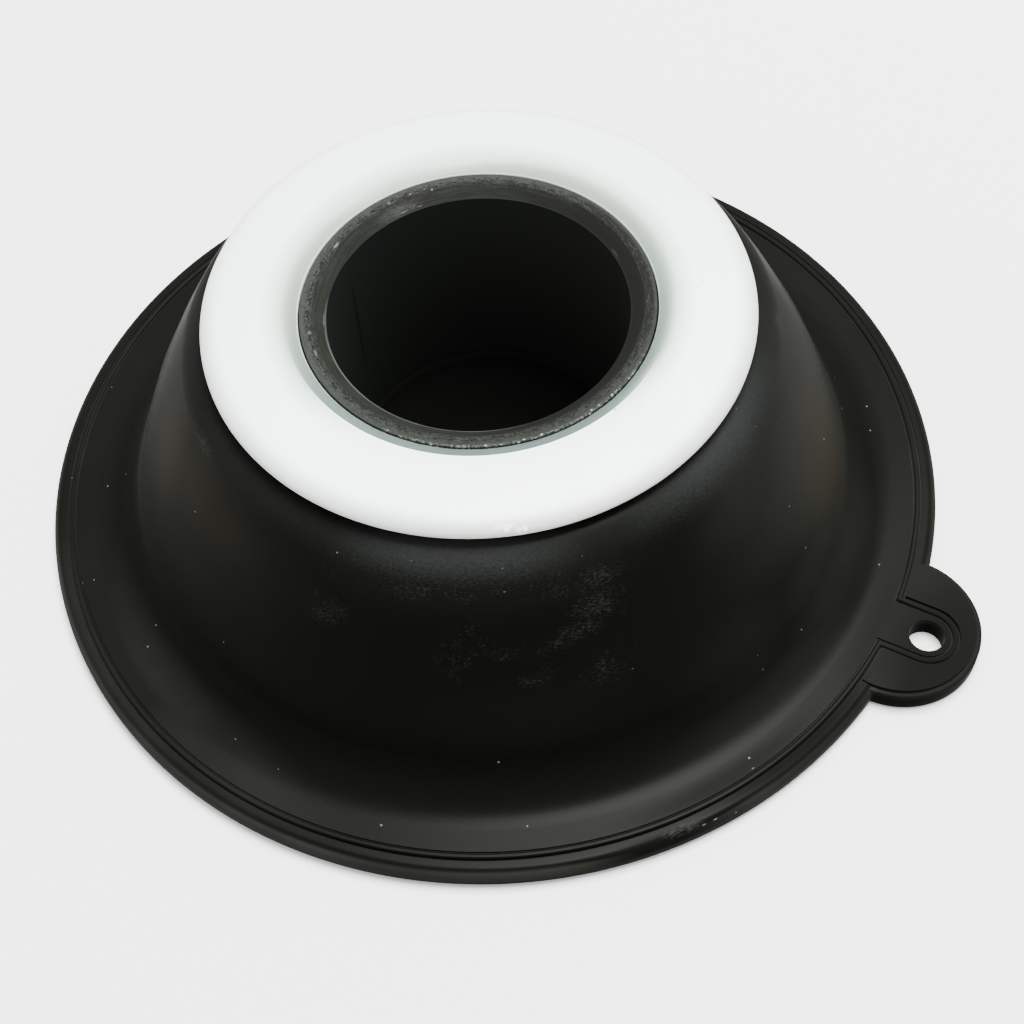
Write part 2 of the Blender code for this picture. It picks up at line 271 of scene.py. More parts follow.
def crossing(s, radius, innerRadius):
    earX = s["rimRadius"] - s["earCentreInset"]
    x = (innerRadius**2 - radius**2 + earX**2) / (2 * earX)
    return x, math.sqrt(innerRadius**2 - x**2)


def earPlateOutline(s):
    # The ear's round edge runs on into the brim and closes inside it
    earX = s["rimRadius"] - s["earCentreInset"]
    inner = s["rimRadius"] - s["ridgeInset"]
    x, y = crossing(s, s["earRadius"], inner)
    reach = math.atan2(y, x - earX)
    around = math.atan2(y, x)
    edge = arcPoints((earX, 0.0), s["earRadius"], -reach, reach, s["earSteps"])
    return edge + arcPoints((0.0, 0.0), inner, around, -around, s["earInnerSteps"])[1:-1]


def earTableOutline(s):
    earX = s["rimRadius"] - s["earCentreInset"]
    radius = s["earRadius"] - s["tableInset"]
    x, y = crossing(s, radius, s["rimRadius"] - s["ridgeInset"])
    reach = math.atan2(y, x - earX)
    edge = arcPoints((earX, 0.0), radius, -reach, reach, s["tableSteps"])
    return edge + [(x - s["overlap"], y), (x - s["overlap"], -y)]


def tongueOutline(s):
    halfWidth = s["holeRadius"] + s["holeToRidge"] + s["creaseHalfWidth"] / 2
    startX = s["rimRadius"] - s["ridgeInset"]
    holeX = s["rimRadius"] + s["holeOffset"]
    tip = arcPoints((holeX, 0.0), halfWidth, -math.pi / 2, math.pi / 2, s["tongueSteps"])
    return [(startX, halfWidth), (startX, -halfWidth)] + tip


def makeDiaphragm(s):
    body = latheMesh("rubberDiaphragm", diaphragmSection(s), True, s["segments"])
    brim = s["brimThickness"]
    sunk = brim - s["overlap"]
    tableTop = brim + s["tableRise"]
    plate = flatSolid("earPlate", [earPlateOutline(s)], 0.0, brim - s["earBorderDrop"])
    roundEdges(plate, s["earEdgeRound"], 5)
    joinOrCut(body, plate, "UNION")
    tongue = flatSolid("earTongue", [tongueOutline(s)], sunk, brim)
    joinOrCut(body, tongue, "UNION")
    table = flatSolid("earTable", [earTableOutline(s)], sunk, tableTop)
    cutTop = tableTop + s["cutBeyond"]
    inside = flatSolid("insideRidge", [ridgeOutline(s, s["creaseHalfWidth"] / 3)], 0.0, cutTop)
    joinOrCut(table, inside, "DIFFERENCE")
    joinOrCut(body, table, "UNION")
    half = s["creaseHalfWidth"]
    sides = [ridgeOutline(s, half), ridgeOutline(s, -half)]
    creases = flatSolid("creases", sides, brim - s["creaseDepth"], cutTop)
    joinOrCut(body, creases, "DIFFERENCE")
    half = s["ridgeHalfWidth"]
    sides = [ridgeOutline(s, half), ridgeOutline(s, -half)]
    ridge = flatSolid("ridge", sides, sunk, brim + s["ridgeRise"])
    roundEdges(ridge, s["ridgeTopRound"], 3)
    joinOrCut(body, ridge, "UNION")
    holeX = s["rimRadius"] + s["holeOffset"]
    edge = arcPoints((holeX, 0.0), s["holeRadius"], 0.0, 2 * math.pi, s["holeSteps"])[:-1]
    hole = flatSolid("earHole", [edge], -s["cutBeyond"], brim + s["cutBeyond"])
    joinOrCut(body, hole, "DIFFERENCE")
    settle(body, [plate, tongue, table, inside, creases, ridge, hole], s["sharpAngle"])
    return body


diaphragm = makeDiaphragm(diaphragmSizes)
print("diaphragm made,", len(diaphragm.data.polygons), "faces")


# The white nylon retaining ring

ringSizes = {
    "outerRadius": 22.5, "boreRadius": 14.9, "seat": 22.75, "thickness": 1.8, "crowning": 0.08,
    "edgeWidth": 1.75, "lipStart": 16.9, "toeThickness": 0.35, "undersideEase": 0.1, "toeUndercut": 0.2,
    "topSteps": 16, "edgeSteps": 28, "segments": 256, "sharpAngle": 50,
    "lip": [(14.6, 1.08), (14.64, 1.12), (14.9, 1.255), (15.1, 1.365), (15.3, 1.465), (15.5, 1.55),
            (15.7, 1.615), (15.95, 1.675), (16.25, 1.725), (16.6, 1.77)],
}


def ringSection(s):
    edgeCentre = s["outerRadius"] - s["edgeWidth"]
    half = s["thickness"] / 2
    points = []
    for i in range(s["topSteps"]):
        share = i / s["topSteps"]
        points.append((s["lipStart"] + (edgeCentre - s["lipStart"]) * share,
                       s["thickness"] + s["crowning"] * math.sin(math.pi * share)))
    for x, y in arcPoints((0.0, 0.0), 1.0, math.pi / 2, -math.pi / 2, s["edgeSteps"]):
        points.append((edgeCentre + s["edgeWidth"] * x, half + half * y))
    # the lip droops softly, then falls as a cone to a thin toe
    toeRadius, toeTop = s["lip"][0]
    toeBottom = toeTop - s["toeThickness"]
    underside = [(s["boreRadius"] + s["undersideEase"], 0.0), (s["boreRadius"], s["undersideEase"]),
                 (s["boreRadius"], toeBottom - s["toeUndercut"]), (toeRadius, toeBottom)]
    return [(r, z + s["seat"]) for r, z in points + underside + s["lip"]]


retainingRing = latheMesh("nylonRing", ringSection(ringSizes), True, ringSizes["segments"])
settle(retainingRing, [], ringSizes["sharpAngle"])
print("retaining ring made")


# The dark cup in the middle

cupSizes = {
    "radius": 14.49, "boreRadius": 12.36, "top": 23.93, "floor": 2.0, "floorRound": 1.0,
    "chamferWidth": 1.08, "chamferDepth": 0.8, "edgeBreak": 0.1, "bottomChamfer": 0.5,
    "seatTop": 20.85, "seatBottom": 18.95, "seatRadius": 19.2, "segments": 256, "sharpAngle": 40,
}


def cupSection(s):
    corners = [
        (0.0, s["floor"], 0.0),
        (s["boreRadius"], s["floor"], s["floorRound"]),
        (s["boreRadius"], s["top"] - s["chamferDepth"], 0.06),
        (s["boreRadius"] + s["chamferWidth"], s["top"], 0.1),
        (s["radius"], s["top"], s["edgeBreak"]),
        (s["radius"], s["seatTop"], 0.05),
        (s["seatRadius"], s["seatTop"], 0.4),
        (s["seatRadius"], s["seatBottom"], 0.4),
        (s["radius"], s["seatBottom"], 1.0),
        (s["radius"], s["bottomChamfer"], 0.05),
        (s["radius"] - s["bottomChamfer"], 0.0, 0.05),
        (0.0, 0.0, 0.0),
    ]
    return roundedPath(corners, False, math.radians(12))


cup = latheMesh("turnedCup", cupSection(cupSizes), False, cupSizes["segments"])
settle(cup, [], cupSizes["sharpAngle"])
print("cup made")


# Shader helpers and the groups that more than one finish uses

def feed(tree, socket, value):
    # Gives a socket a link, a colour or a plain value
    if isinstance(value, bpy.types.NodeSocket):
        tree.links.new(value, socket)
    elif isinstance(value, tuple):
        socket.default_value = (*value, 1.0)
    else:
        socket.default_value = value


def addNode(tree, kind, inputs=None, **settings):
    made = tree.nodes.new(kind)
    for name, value in settings.items():
        setattr(made, name, value)
    for name, value in (inputs or {}).items():
        feed(tree, made.inputs[name], value)
    return made


def arrange(tree):
    # Sets the nodes in columns, each to the left of all that it feeds
    column = {node.name: 0 for node in tree.nodes}
    moved = True
    while moved:
        moved = False
        for link in tree.links:
            start, end = link.from_node.name, link.to_node.name
            if column[start] <= column[end]:
                column[start] = column[end] + 1
                moved = True
    rows = {}
    for node in tree.nodes:
        place = column[node.name]
        rows[place] = rows.get(place, 0) + 1
        node.location = (-220 * place, -170 * rows[place])


def mathNode(tree, operation, *values, clamp=False):
    inputs = dict(enumerate(values))
    return addNode(tree, "ShaderNodeMath", inputs, operation=operation, use_clamp=clamp).outputs[0]


def times(tree, first, second):
    return mathNode(tree, "MULTIPLY", first, second)


def larger(tree, first, second):
    return mathNode(tree, "MAXIMUM", first, second)


def vectorNode(tree, operation, *values, **named):
    made = addNode(tree, "ShaderNodeVectorMath", {**dict(enumerate(values)), **named}, operation=operation)
    return made.outputs["Value" if operation in ("LENGTH", "DOT_PRODUCT") else "Vector"]


def rangeNode(tree, value, low, high, toLow=0.0, toHigh=1.0, smooth=True):
    bounds = {"Value": value, "From Min": low, "From Max": high, "To Min": toLow, "To Max": toHigh}
    kind = "SMOOTHSTEP" if smooth else "LINEAR"
    return addNode(tree, "ShaderNodeMapRange", bounds, interpolation_type=kind, clamp=True).outputs["Result"]


def blend(tree, share, low, high):
    # Runs straight from one value or roughness to another
    return rangeNode(tree, share, 0.0, 1.0, low, high, smooth=False)


def colourMix(tree, share, first, second):
    return addNode(tree, "ShaderNodeMix", {0: share, 6: first, 7: second}, data_type="RGBA").outputs[2]


def newGroup(name, vectors, floats, vectorResults=(), floatResults=("Mask",)):
    group = bpy.data.node_groups.new(name, "ShaderNodeTree")
    for direction, kind, names in (("INPUT", "Vector", vectors), ("INPUT", "Float", floats),
                                   ("OUTPUT", "Vector", vectorResults), ("OUTPUT", "Float", floatResults)):
        for socketName in names:
            group.interface.new_socket(name=socketName, in_out=direction, socket_type="NodeSocket" + kind)
    return group


def finishGroup(group, **results):
    addNode(group, "NodeGroupOutput", results)
    arrange(group)
    return group


def makeTurnedPlace():
    # Splits a point into its radius, its height and its direction from the axis, all in mm
    group = newGroup("turnedPlace", [], [], ["Direction", "Place"], ["Radius", "Height"])
    coordinates = addNode(group, "ShaderNodeTexCoord")
    place = vectorNode(group, "SCALE", coordinates.outputs["Object"], Scale=1 / mm)
    apart = addNode(group, "ShaderNodeSeparateXYZ", {0: place}).outputs
    flat = addNode(group, "ShaderNodeCombineXYZ", {"X": apart["X"], "Y": apart["Y"]}).outputs[0]
    return finishGroup(group, Radius=vectorNode(group, "LENGTH", flat), Height=apart["Z"],
                       Direction=vectorNode(group, "NORMALIZE", flat), Place=place)


def makeSpecks():
    # Scattered round dots. Spacing and Size are in mm, Share is how many of the places hold one
    smallest, variation, core = 0.4, 1.2, 0.35
    group = newGroup("scatteredSpecks", ["Place"], ["Spacing", "Size", "Share"])
    start = addNode(group, "NodeGroupInput").outputs
    density = mathNode(group, "DIVIDE", 1.0, start["Spacing"])
    scaled = vectorNode(group, "SCALE", start["Place"], Scale=density)
    cells = addNode(group, "ShaderNodeTexVoronoi", {"Scale": 1.0, "Vector": scaled}).outputs
    chance = addNode(group, "ShaderNodeSeparateColor", {0: cells["Color"]}).outputs
    chosen = mathNode(group, "LESS_THAN", chance[0], start["Share"])
    across = times(group, cells["Distance"], start["Spacing"])
    reach = times(group, mathNode(group, "MULTIPLY_ADD", chance[1], variation, smallest), start["Size"])
    dot = rangeNode(group, across, times(group, reach, core), reach, 1.0, 0.0)
    return finishGroup(group, Mask=times(group, dot, chosen))


def makeCloud():
    # Soft uneven patches. Size is their width in mm, Low and High bound the soft edge
    group = newGroup("softCloud", ["Place"], ["Size", "Low", "High"])
    start = addNode(group, "NodeGroupInput").outputs
    density = mathNode(group, "DIVIDE", 1.0, start["Size"])
    scaled = vectorNode(group, "SCALE", start["Place"], Scale=density)
    noise = addNode(group, "ShaderNodeTexNoise", {
        "Scale": 1.0, "Detail": 4.0, "Roughness": 0.55, "Vector": scaled})
    return finishGroup(group, Mask=rangeNode(group, noise.outputs["Fac"], start["Low"], start["High"]))


def makeStreaks():
    # Fine lines. Around is how many go round the axis, Along stretches them over radius and height in mm
    fullTurn = 6.2832
    group = newGroup("turnedStreaks", ["Direction"], ["Radius", "Height", "Around", "Along"], [], ["Lines"])
    start = addNode(group, "NodeGroupInput").outputs
    perTurn = mathNode(group, "DIVIDE", start["Around"], fullTurn)
    spread = vectorNode(group, "SCALE", start["Direction"], Scale=perTurn)
    down = mathNode(group, "SUBTRACT", start["Height"], start["Radius"])
    slow = mathNode(group, "DIVIDE", down, start["Along"])
    rise = addNode(group, "ShaderNodeCombineXYZ", {"Z": slow}).outputs[0]
    place = vectorNode(group, "ADD", spread, rise)
    noise = addNode(group, "ShaderNodeTexNoise", {"Scale": 1.0, "Detail": 2.0, "Vector": place})
    return finishGroup(group, Lines=noise.outputs["Fac"])


def makePlacedMark():
    # One soft oval mark. Towards is its direction from the axis, Width and Length its half sizes
    # round the axis and along the section in mm
    core = 0.15
    group = newGroup("placedMark", ["Direction", "Towards"],
                     ["Radius", "Height", "AtRadius", "AtHeight", "Width", "Length"])
    start = addNode(group, "NodeGroupInput").outputs
    facing = vectorNode(group, "DOT_PRODUCT", start["Direction"], start["Towards"])
    turn = mathNode(group, "ARCCOSINE", mathNode(group, "MINIMUM", facing, 1.0))
    around = times(group, turn, start["AtRadius"])
    outward = mathNode(group, "SUBTRACT", start["Radius"], start["AtRadius"])
    upward = mathNode(group, "SUBTRACT", start["Height"], start["AtHeight"])
    offset = addNode(group, "ShaderNodeCombineXYZ", {
        "X": mathNode(group, "DIVIDE", around, start["Width"]),
        "Y": mathNode(group, "DIVIDE", outward, start["Length"]),
        "Z": mathNode(group, "DIVIDE", upward, start["Length"])}).outputs[0]
    return finishGroup(group, Mask=rangeNode(group, vectorNode(group, "LENGTH", offset), core, 1.0, 1.0, 0.0))


turnedPlace = makeTurnedPlace()
scatteredSpecks = makeSpecks()
softCloud = makeCloud()
turnedStreaks = makeStreaks()
placedMark = makePlacedMark()


def useGroup(tree, group, **values):
    return addNode(tree, "ShaderNodeGroup", values, node_tree=group).outputs


def specksOn(tree, where, spacing, size, share):
    return useGroup(tree, scatteredSpecks, Place=where["Place"], Spacing=spacing, Size=size,
                    Share=share)["Mask"]


def cloudOn(tree, where, size, low, high):
    return useGroup(tree, softCloud, Place=where["Place"], Size=size, Low=low, High=high)["Mask"]


def streaksOn(tree, where, height, around, along):
    return useGroup(tree, turnedStreaks, Direction=where["Direction"], Radius=where["Radius"],
                    Height=height, Around=around, Along=along)["Lines"]


def towards(azimuth):
    # A level direction, given as the photographer sees it: 0 is right, 270 is near
    angle = math.radians(azimuth) + earTurn
    return Vector((math.cos(angle), math.sin(angle), 0.0))


def addMarks(tree, where, marks):
    # Joins marks given as (azimuth, radius, height, half width, half length, strength) into one mask
    joined = None
    for azimuth, radius, height, width, length, strength in marks:
        mark = useGroup(tree, placedMark, Direction=where["Direction"], Radius=where["Radius"],
                        Height=where["Height"], Towards=towards(azimuth), AtRadius=radius, AtHeight=height,
                        Width=width, Length=length)["Mask"]
        weak = times(tree, mark, strength)
        joined = weak if joined is None else larger(tree, joined, weak)
    return joined


def tornMarks(tree, marks, noise):
    # Breaks soft marks up into strokes with clear gaps between them
    contrast, middle = 3.0, -1.5
    strokes = mathNode(tree, "MULTIPLY_ADD", noise, contrast, middle)
    torn = rangeNode(tree, mathNode(tree, "ADD", marks, strokes), 0.1, 1.7)
    return times(tree, torn, rangeNode(tree, marks, 0.0, 0.35))


def sideMask(tree, where, azimuth, low, high):
    # Which way the surface lies from the axis: 1 towards the azimuth, 0 away from it
    facing = vectorNode(tree, "DOT_PRODUCT", where["Direction"], towards(azimuth))
    return rangeNode(tree, facing, low, high)


def newMaterial(name):
    material = bpy.data.materials.new(name)
    material.use_nodes = True
    tree = material.node_tree
    return material, tree, tree.nodes["Principled BSDF"]


def addBump(tree, shader, height, strength, distance):
    bump = addNode(tree, "ShaderNodeBump", {"Strength": strength, "Distance": distance, "Height": height})
    feed(tree, shader.inputs["Normal"], bump.outputs["Normal"])


# Black moulded rubber, with talc smears, specks and a faint grain, a painted highlight under the ring, and
# painted sheen, light and shade

rubberLook = {
    "black": (0.0015, 0.0016, 0.0010), "dustAndLight": (0.0081, 0.0086, 0.0079), "talcAndHighlight": (0.0172, 0.0188, 0.0188),
    "warm": (0.0092, 0.0073, 0.0030), "wornEdge": (0.0118, 0.0120, 0.0106),
    "shaded": (0.0009, 0.0006, 0.0001), "speck": (0.09, 0.094, 0.086),
    "roughness": 0.30, "talcRoughness": 0.6,
    "edgeOnRoughness": 0.43, "rimRoughness": 0.24,
    "specular": 0.020, "specularTint": (0.96, 1.0, 0.94), "sheen": 0.0105,
    "sheenRoughness": 0.45, "sheenTint": (0.96, 1.0, 0.93), "grain": 5.0, "grainDetail": 3.0,
    "bump": 0.12, "bumpDistance": 0.00004,
}
# Most pairs say where a mask starts and where it is full. For brushed and streaks they are the lines
# round the axis and their stretch, and for patchy and evenness a factor and offset or a range.
# Three values are an azimuth and its bounds, a cloud's size and bounds, or specks' spacing, size and share.
rubberMasks = {
    "brushed": (560.0, 0.17), "streaks": (460.0, 1.3), "patches": (2.6, 0.34, 0.62), "patchy": (0.6, 0.4),
    "printLines": (0.42, 0.6), "bandHeights": (20.8, 24.3), "bandTorn": 2.6, "bandShare": 0.62,
    "bandLeast": 0.22, "talcShare": 0.8, "broad": (11.0, 0.3, 0.75), "evenness": (0.65, 1.0),
    "flat": (33.6, 35.4), "nearFlat": (277.0, 0.25, 0.9), "flatDust": 0.2,
    "creaseSlope": (0.95, 0.6), "creaseWall": (1.82, 1.88), "creaseFloor": (1.99, 1.93),
    "creaseInside": (37.6, 37.8), "creaseOutside": (38.95, 38.75), "farCrease": (85.0, -0.4, 0.1),
    "creaseLightening": 0.9, "edge": (39.2, 39.7), "edgeTop": (1.98, 1.75), "withinEar": (40.3, 40.05),
    "overEar": (0.6, 1.4), "wornSide": (225.0, -0.3, 0.8), "leastWear": 0.5,
    "earSide": (39.95, 40.15), "underEar": (1.7, 1.25), "specks": (2.1, 0.085, 0.8), "veilMatt": 0.5,
    "glancing": (0.35, 0.85), "rim": (0.82, 0.97),
}
# azimuth, radius, height, half width, half length, strength
talcSmears = [
    (239.5, 26.9, 16.6, 3.6, 2.3, 0.5), (237.5, 26.6, 17.2, 2.0, 1.3, 0.5),
    (285.5, 26.4, 17.4, 3.8, 2.3, 0.58), (282.0, 27.1, 15.9, 3.4, 1.6, 0.62),
    (279.0, 27.3, 15.4, 2.8, 1.2, 0.5), (288.5, 26.4, 17.3, 3.2, 2.2, 0.36),
    (283.0, 25.2, 19.6, 6.0, 1.8, 0.5), (286.0, 28.3, 13.0, 4.5, 3.2, 0.28),
    (273.0, 27.6, 14.8, 3.6, 1.6, 0.3), (275.0, 28.4, 13.0, 2.0, 1.6, 0.3),
    (277.0, 25.0, 20.2, 7.0, 1.8, 0.5), (202.0, 24.5, 20.9, 4.6, 1.1, 0.6),
    (188.0, 25.0, 19.8, 5.0, 2.6, 0.4), (354.0, 24.5, 20.9, 3.4, 1.4, 0.7),
    (227.0, 28.8, 12.3, 3.6, 2.4, 0.2), (288.5, 39.35, 1.95, 3.0, 0.7, 0.9),
    (258.0, 25.0, 20.0, 7.0, 2.0, 0.4), (270.0, 27.6, 15.0, 3.0, 1.0, 0.42),
    (273.5, 28.6, 12.6, 2.0, 1.4, 0.4), (284.0, 28.9, 11.9, 3.4, 2.6, 0.4),
    (281.0, 25.4, 19.4, 6.0, 1.5, 0.45),
]
printSmears = [
    (243.0, 24.7, 20.4, 5.2, 3.2, 0.45), (260.5, 27.8, 14.6, 4.2, 4.2, 0.34),
    (265.0, 26.8, 16.6, 3.5, 2.6, 0.3),
]
# where the painted highlight band under the ring is strongest
highlightBandPlaces = [(262.0, 24.0, 21.8, 14.0, 9.0, 1.0), (320.0, 24.0, 21.8, 16.0, 9.0, 0.9)]
# pale patches: dust, and near the sides painted sheen
dustAndSheenVeils = [
    (342.0, 27.3, 15.6, 20.0, 11.5, 0.9), (322.0, 25.8, 18.6, 10.0, 8.0, 0.62),
    (177.0, 27.0, 16.0, 13.0, 12.0, 0.32), (215.0, 26.0, 18.0, 14.0, 9.0, 0.28),
    (272.0, 30.0, 9.4, 12.0, 5.0, 0.10), (262.0, 24.6, 20.6, 22.0, 4.5, 0.2),
    (212.0, 35.0, 2.3, 20.0, 2.8, 0.5), (230.0, 37.3, 2.0, 15.0, 3.4, 0.42),
    (309.0, 31.0, 7.2, 9.0, 6.0, 0.22), (312.0, 34.0, 2.6, 17.0, 2.6, 0.24),
    (336.0, 32.6, 4.0, 15.0, 4.2, 0.42), (206.0, 38.9, 2.0, 24.0, 1.5, 0.5),
    (328.0, 31.2, 6.6, 9.0, 5.0, 0.4), (229.0, 35.6, 2.1, 10.0, 2.2, 0.3),
]
warmPatches = [
    (193.0, 26.8, 16.6, 5.4, 6.6, 0.75), (208.0, 26.2, 17.8, 10.0, 4.6, 0.45),
    (344.0, 29.3, 11.5, 10.0, 9.0, 0.8),
]
dullPatches = [
    (307.0, 38.9, 2.0, 13.0, 0.9, 1.0), (285.5, 39.6, 1.7, 6.0, 0.8, 1.0),
    (297.0, 37.3, 2.0, 13.0, 1.3, 0.45), (328.0, 43.6, 2.1, 13.0, 8.0, 1.0),
    (330.0, 37.6, 2.0, 12.0, 1.8, 0.4), (321.0, 43.5, 2.1, 8.0, 5.0, 0.9),
]
crumbs = [
    (231.0, 32.3, 4.5, 0.13, 0.10, 0.9), (249.0, 32.3, 4.5, 0.10, 0.10, 0.8),
    (252.0, 36.5, 2.0, 0.14, 0.12, 0.9), (221.0, 30.6, 7.9, 0.12, 0.12, 0.8),
    (289.0, 29.2, 11.2, 0.14, 0.10, 0.8), (316.0, 32.2, 4.6, 0.10, 0.13, 0.9),
    (300.0, 37.7, 1.95, 0.22, 0.10, 0.9), (336.0, 35.8, 2.05, 0.12, 0.12, 0.8),
    (352.0, 38.6, 2.0, 0.20, 0.10, 0.9), (184.0, 37.8, 1.9, 0.34, 0.10, 0.8),
    (194.0, 37.9, 1.9, 0.26, 0.12, 0.8), (202.0, 37.7, 1.9, 0.40, 0.10, 0.7),
    (291.1, 39.7, 1.8, 0.26, 0.11, 0.5), (292.6, 39.7, 1.8, 0.26, 0.08, 1.0),
    (295.2, 39.9, 1.5, 0.12, 0.12, 0.6),
]
holeSurround = [(328.2, 41.4, 1.9, 10.0, 7.0, 1.0)]
edgeShadeStretch = [(286.0, 39.7, 1.5, 9.0, 3.0, 1.0)]


def makeRubber(look, masks):
    material, tree, shader = newMaterial("blackRubber")
    where = useGroup(tree, turnedPlace)
    radius = where["Radius"]
    height = where["Height"]
    # talc lies in brushed smears and in finger prints; the band under the ring is a painted highlight in the
    # talc colour
    streaks = streaksOn(tree, where, height, *masks["streaks"])
    wisps = streaksOn(tree, where, height, *masks["brushed"])
    patches = cloudOn(tree, where, *masks["patches"])
    patchy = mathNode(tree, "MULTIPLY_ADD", patches, *masks["patchy"])
    smears = tornMarks(tree, times(tree, addMarks(tree, where, talcSmears), patchy), wisps)
    prints = tornMarks(tree, times(tree, addMarks(tree, where, printSmears), patchy), wisps)
    printed = times(tree, prints, rangeNode(tree, streaks, *masks["printLines"]))
    band = mathNode(tree, "MULTIPLY_ADD", wisps, masks["bandTorn"], height)
    highlightBand = rangeNode(tree, band, *masks["bandHeights"], 0.0, masks["bandShare"])
    bandSide = larger(tree, addMarks(tree, where, highlightBandPlaces), masks["bandLeast"])
    laid = times(tree, larger(tree, smears, printed), masks["talcShare"])
    talcAndHighlight = larger(tree, laid, times(tree, highlightBand, bandSide))
    # a thin dust lies in patches and on the flat of the brim but for its near part; the patches near the
    # sides are partly painted sheen
    evenness = rangeNode(tree, cloudOn(tree, where, *masks["broad"]), 0.0, 1.0, *masks["evenness"])
    nearFlat = sideMask(tree, where, *masks["nearFlat"])
    flatDust = rangeNode(tree, nearFlat, 0.0, 1.0, masks["flatDust"], 0.0)
    flat = times(tree, rangeNode(tree, radius, *masks["flat"]), flatDust)
    dustAndLightAreas = larger(tree, addMarks(tree, where, dustAndSheenVeils), flat)
    # painted light: the creases on the far side and beside the hole take the pale dust colour, which takes
    # out their shade
    surface = addNode(tree, "ShaderNodeNewGeometry")
    slope = addNode(tree, "ShaderNodeSeparateXYZ", {0: surface.outputs["Normal"]}).outputs["Z"]
    creaseWall = times(tree, rangeNode(tree, slope, *masks["creaseSlope"]),
                       rangeNode(tree, height, *masks["creaseWall"]))
    creaseLow = larger(tree, creaseWall, rangeNode(tree, height, *masks["creaseFloor"]))
    inCrease = times(tree, creaseLow, rangeNode(tree, radius, *masks["creaseInside"]))
    farCrease = times(tree, rangeNode(tree, radius, *masks["creaseOutside"]),
                      sideMask(tree, where, *masks["farCrease"]))
    byHole = addMarks(tree, where, holeSurround)
    creaseFill = times(tree, inCrease, larger(tree, farCrease, byHole))
    dustAndLightAreas = mathNode(tree, "MULTIPLY_ADD", creaseFill, masks["creaseLightening"], dustAndLightAreas, clamp=True)
    dustAndLight = times(tree, dustAndLightAreas, evenness)
    # the thick edge of the brim is worn lighter all round but for the ear and one stretch, which is kept dark
    # as painted shade
    onEdge = times(tree, rangeNode(tree, radius, *masks["edge"]), rangeNode(tree, height, *masks["edgeTop"]))
    notEar = times(tree, rangeNode(tree, radius, *masks["withinEar"]),
                   rangeNode(tree, height, *masks["overEar"]))
    paintedEdgeShade = addMarks(tree, where, edgeShadeStretch)
    wear = mathNode(tree, "SUBTRACT", times(tree, onEdge, notEar), paintedEdgeShade, clamp=True)
    wornSide = sideMask(tree, where, *masks["wornSide"])
    wear = times(tree, wear, rangeNode(tree, wornSide, 0.0, 1.0, masks["leastWear"], 1.0))
    wear = times(tree, wear, evenness)
    warm = times(tree, addMarks(tree, where, warmPatches), evenness)
    # the pale colour is dust, and in the creases painted light
    colour = colourMix(tree, dustAndLight, look["black"], look["dustAndLight"])
    colour = colourMix(tree, wear, colour, look["wornEdge"])
    colour = colourMix(tree, warm, colour, look["warm"])
    # painted shade: the ear's side and the wall of its hole are painted deep black
    wall = times(tree, rangeNode(tree, radius, *masks["earSide"]),
                 rangeNode(tree, height, *masks["underEar"]))
    colour = colourMix(tree, wall, colour, look["shaded"])
    colour = colourMix(tree, talcAndHighlight, colour, look["talcAndHighlight"])
    scattered = mathNode(tree, "SUBTRACT", specksOn(tree, where, *masks["specks"]), byHole, clamp=True)
    spots = larger(tree, scattered, addMarks(tree, where, crumbs))
    feed(tree, shader.inputs["Base Color"], colourMix(tree, spots, colour, look["speck"]))
    dull = larger(tree, wall, addMarks(tree, where, dullPatches))
    matt = larger(tree, larger(tree, talcAndHighlight, times(tree, dustAndLight, masks["veilMatt"])), dull)
    edgeOn = addNode(tree, "ShaderNodeLayerWeight", {"Blend": 0.5}).outputs["Facing"]
    rough = blend(tree, matt, look["roughness"], look["talcRoughness"])
    rough = blend(tree, rangeNode(tree, edgeOn, *masks["glancing"]), rough, look["edgeOnRoughness"])
    rough = blend(tree, rangeNode(tree, edgeOn, *masks["rim"]), rough, look["rimRoughness"])
    feed(tree, shader.inputs["Roughness"], rough)
    shader.inputs["Specular IOR Level"].default_value = look["specular"]
    shader.inputs["Specular Tint"].default_value = (*look["specularTint"], 1.0)
    shader.inputs["Sheen Weight"].default_value = look["sheen"]
    shader.inputs["Sheen Roughness"].default_value = look["sheenRoughness"]
    shader.inputs["Sheen Tint"].default_value = (*look["sheenTint"], 1.0)
    grain = addNode(tree, "ShaderNodeTexNoise", {
        "Scale": look["grain"], "Detail": look["grainDetail"], "Vector": where["Place"]})
    addBump(tree, shader, grain.outputs["Fac"], look["bump"], look["bumpDistance"])
    arrange(tree)
    return material


# Milky white nylon, a little grubby low on its outer edge, with painted light and shade on its sides, lip and
# edges

